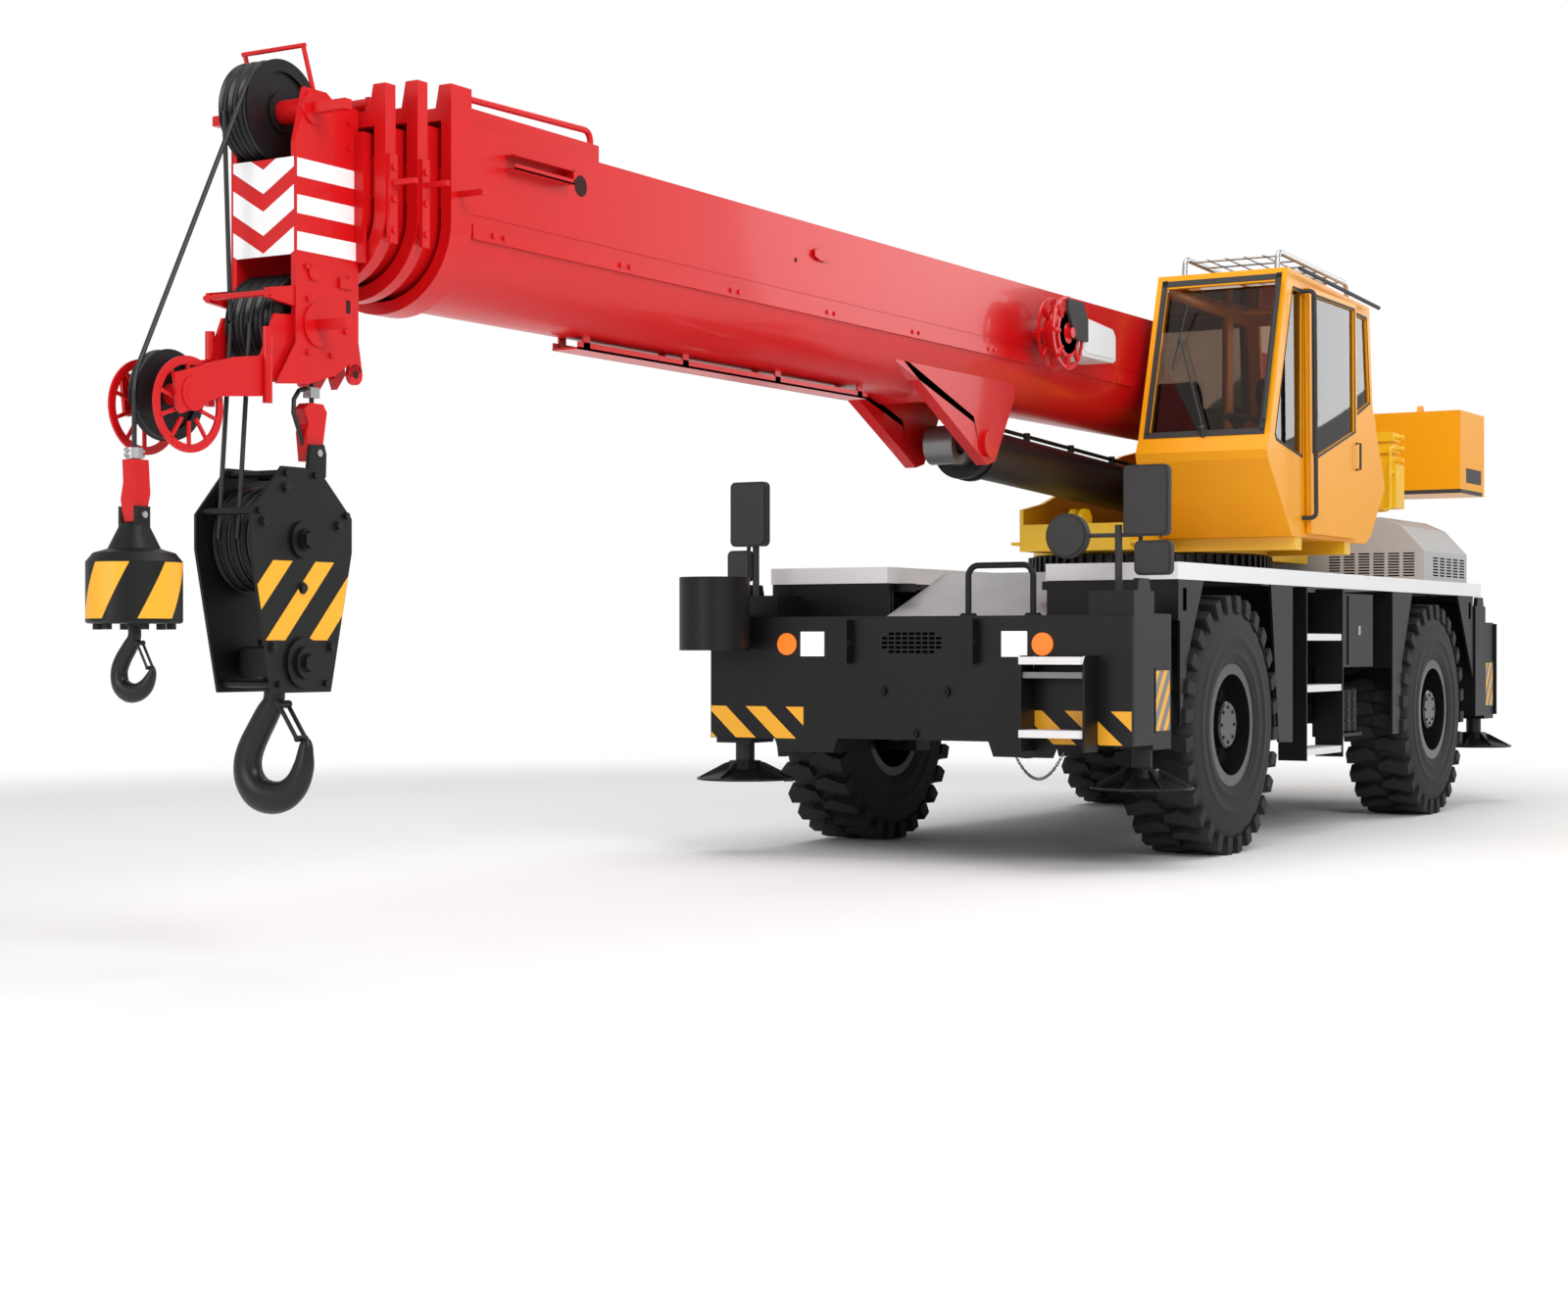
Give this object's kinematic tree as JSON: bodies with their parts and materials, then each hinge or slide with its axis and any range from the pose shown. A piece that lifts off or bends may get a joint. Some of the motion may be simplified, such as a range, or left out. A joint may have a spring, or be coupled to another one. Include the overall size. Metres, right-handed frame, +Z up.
{
  "type": "rough terrain crane",
  "caption": "Two-axle rough terrain crane with slewing superstructure, side cab, telescopic boom, main hook block and auxiliary hook.",
  "frame": {"origin": "on the ground at the centre of the overall box", "axes": "+X to the front, +Y to the left, +Z up"},
  "size_m": [13.269, 2.91, 3.6655],
  "materials": {
    "tyre": "matt",
    "black_paint": "satin",
    "rim_paint": "gloss",
    "white_paint": "gloss",
    "red_paint": "gloss",
    "orange_paint": "gloss",
    "yellow_paint": "gloss",
    "grey_paint": "satin",
    "dark_steel": "satin",
    "steel": "bright",
    "chrome": "bright",
    "glass": "tinted",
    "seat_fabric": "woven",
    "black_plastic": "matt",
    "lamp_plastic": "gloss"
  },
  "bodies": {
    "chassis": {"chassis_frame": "black_paint", "deck": "white_paint", "centre_cover": "grey_paint", "engine_hood": "grey_paint", "engine_block": "dark_steel", "axles": "black_paint", "steps": "black_paint", "side_tanks": "black_paint", "mirrors": "black_plastic", "handrail": "black_paint", "lamps": "lamp_plastic", "hook_bucket": "black_paint", "slew_ring": "dark_steel"},
    "superstructure": {"turntable_frame": "yellow_paint", "counterweight": "orange_paint", "winches": "yellow_paint", "cab_shell": "orange_paint", "cab_glass": "glass", "cab_roof_guard": "steel", "operator_seat": "seat_fabric", "cab_controls": "black_plastic"},
    "cab_door": {"cab_door": "orange_paint", "cab_door_glass": "glass"},
    "boom_base": {"boom_base": "red_paint", "cable_reel": "red_paint"},
    "boom_section_2": {"boom_section_2": "red_paint"},
    "boom_section_3": {"boom_section_3": "red_paint"},
    "boom_head": {"boom_head": "red_paint", "head_sheaves": "dark_steel", "aux_arm": "red_paint"},
    "luff_barrel": {"luff_barrel": "black_paint"},
    "luff_rod": {"luff_rod": "chrome"},
    "main_block": {"main_block": "black_paint", "main_falls": "dark_steel"},
    "main_hook": {"main_hook": "dark_steel"},
    "aux_weight": {"aux_weight": "black_paint"},
    "aux_hook": {"aux_hook": "dark_steel"},
    "knuckle_fl": {"knuckle_fl": "black_paint"},
    "wheel_fl": {"rim_fl": "rim_paint", "tyre_fl": "tyre"},
    "outrigger_fl": {"outrigger_beam_fl": "black_paint"},
    "jack_fl": {"jack_fl": "dark_steel"},
    "knuckle_fr": {"knuckle_fr": "black_paint"},
    "wheel_fr": {"rim_fr": "rim_paint", "tyre_fr": "tyre"},
    "outrigger_fr": {"outrigger_beam_fr": "black_paint"},
    "jack_fr": {"jack_fr": "dark_steel"},
    "knuckle_rl": {"knuckle_rl": "black_paint"},
    "wheel_rl": {"rim_rl": "rim_paint", "tyre_rl": "tyre"},
    "outrigger_rl": {"outrigger_beam_rl": "black_paint"},
    "jack_rl": {"jack_rl": "dark_steel"},
    "knuckle_rr": {"knuckle_rr": "black_paint"},
    "wheel_rr": {"rim_rr": "rim_paint", "tyre_rr": "tyre"},
    "outrigger_rr": {"outrigger_beam_rr": "black_paint"},
    "jack_rr": {"jack_rr": "dark_steel"}
  },
  "joints": [
    {"name": "steer_fl", "type": "hinge", "parent": "chassis", "child": "knuckle_fl", "pos_m": [-0.891, 0.88, 0.746], "axis": [0, 0, 1], "range_deg": [-25, 25]},
    {"name": "spin_fl", "type": "hinge", "parent": "knuckle_fl", "child": "wheel_fl", "pos_m": [-0.891, 1.101, 0.746], "axis": [0, 1, 0], "continuous": true},
    {"name": "steer_fr", "type": "hinge", "parent": "chassis", "child": "knuckle_fr", "pos_m": [-0.891, -0.88, 0.746], "axis": [0, 0, 1], "range_deg": [-25, 25]},
    {"name": "spin_fr", "type": "hinge", "parent": "knuckle_fr", "child": "wheel_fr", "pos_m": [-0.891, -1.101, 0.746], "axis": [0, 1, 0], "continuous": true},
    {"name": "steer_rl", "type": "hinge", "parent": "chassis", "child": "knuckle_rl", "pos_m": [-4.881, 0.88, 0.746], "axis": [0, 0, 1], "range_deg": [-25, 25]},
    {"name": "spin_rl", "type": "hinge", "parent": "knuckle_rl", "child": "wheel_rl", "pos_m": [-4.881, 1.101, 0.746], "axis": [0, 1, 0], "continuous": true},
    {"name": "steer_rr", "type": "hinge", "parent": "chassis", "child": "knuckle_rr", "pos_m": [-4.881, -0.88, 0.746], "axis": [0, 0, 1], "range_deg": [-25, 25]},
    {"name": "spin_rr", "type": "hinge", "parent": "knuckle_rr", "child": "wheel_rr", "pos_m": [-4.881, -1.101, 0.746], "axis": [0, 1, 0], "continuous": true},
    {"name": "outrigger_slide_fl", "type": "slide", "parent": "chassis", "child": "outrigger_fl", "axis": [0, 1, 0], "range_m": [0, 1.7]},
    {"name": "jack_slide_fl", "type": "slide", "parent": "outrigger_fl", "child": "jack_fl", "axis": [0, 0, -1], "range_m": [0, 0.5]},
    {"name": "outrigger_slide_fr", "type": "slide", "parent": "chassis", "child": "outrigger_fr", "axis": [0, -1, 0], "range_m": [0, 1.7]},
    {"name": "jack_slide_fr", "type": "slide", "parent": "outrigger_fr", "child": "jack_fr", "axis": [0, 0, -1], "range_m": [0, 0.5]},
    {"name": "outrigger_slide_rl", "type": "slide", "parent": "chassis", "child": "outrigger_rl", "axis": [0, 1, 0], "range_m": [0, 1.7]},
    {"name": "jack_slide_rl", "type": "slide", "parent": "outrigger_rl", "child": "jack_rl", "axis": [0, 0, -1], "range_m": [0, 0.5]},
    {"name": "outrigger_slide_rr", "type": "slide", "parent": "chassis", "child": "outrigger_rr", "axis": [0, -1, 0], "range_m": [0, 1.7]},
    {"name": "jack_slide_rr", "type": "slide", "parent": "outrigger_rr", "child": "jack_rr", "axis": [0, 0, -1], "range_m": [0, 0.5]},
    {"name": "slew", "type": "hinge", "parent": "chassis", "child": "superstructure", "pos_m": [-2.806, 0, 1.787], "axis": [0, 0, 1], "continuous": true},
    {"name": "cab_door_slide", "type": "slide", "parent": "superstructure", "child": "cab_door", "axis": [-1, 0, 0], "range_m": [0, 0.62]},
    {"name": "boom_luff", "type": "hinge", "parent": "superstructure", "child": "boom_base", "pos_m": [-5.086, 0, 2.88], "axis": [0, -1, 0], "range_deg": [0, 78]},
    {"name": "luff_barrel_hinge", "type": "hinge", "parent": "superstructure", "child": "luff_barrel", "pos_m": [-3.886, 0, 2.15], "axis": [0, -1, 0], "range_deg": [0, 84.5]},
    {"name": "luff_rod_slide", "type": "slide", "parent": "luff_barrel", "child": "luff_rod", "axis": [0.999, 0, 0.0458], "range_m": [0, 1.481]},
    {"name": "boom_extend", "type": "slide", "parent": "boom_base", "child": "boom_section_2", "axis": [1, 0, 0], "range_m": [0, 6.9]},
    {"name": "boom_extend_3", "type": "slide", "parent": "boom_section_2", "child": "boom_section_3", "axis": [1, 0, 0], "range_m": [0, 6.9]},
    {"name": "boom_extend_4", "type": "slide", "parent": "boom_section_3", "child": "boom_head", "axis": [1, 0, 0], "range_m": [0, 6.9]},
    {"name": "main_block_hang", "type": "hinge", "parent": "boom_head", "child": "main_block", "pos_m": [5.649, 0, 2.407], "axis": [0, -1, 0], "range_deg": [-78, 0]},
    {"name": "aux_hook_hang", "type": "hinge", "parent": "boom_head", "child": "aux_weight", "pos_m": [6.236, 0, 2.1], "axis": [0, -1, 0], "range_deg": [-78, 0]},
    {"name": "main_hook_swivel", "type": "hinge", "parent": "main_block", "child": "main_hook", "pos_m": [5.714, 0, 1.141], "axis": [0, 0, 1], "continuous": true},
    {"name": "aux_hook_swivel", "type": "hinge", "parent": "aux_weight", "child": "aux_hook", "pos_m": [6.429, 0, 1.33], "axis": [0, 0, 1], "continuous": true}
  ],
  "couplings": [
    {"joint": "steer_fr", "follows": "steer_fl", "ratio": 1},
    {"joint": "steer_rr", "follows": "steer_rl", "ratio": 1},
    {"joint": "luff_barrel_hinge", "follows": "boom_luff", "ratio": 1.0771},
    {"joint": "luff_rod_slide", "follows": "boom_luff", "m_per_rad": 1.0808},
    {"joint": "boom_extend_3", "follows": "boom_extend", "ratio": 1},
    {"joint": "boom_extend_4", "follows": "boom_extend", "ratio": 1},
    {"joint": "main_block_hang", "follows": "boom_luff", "ratio": -1},
    {"joint": "aux_hook_hang", "follows": "boom_luff", "ratio": -1}
  ]
}
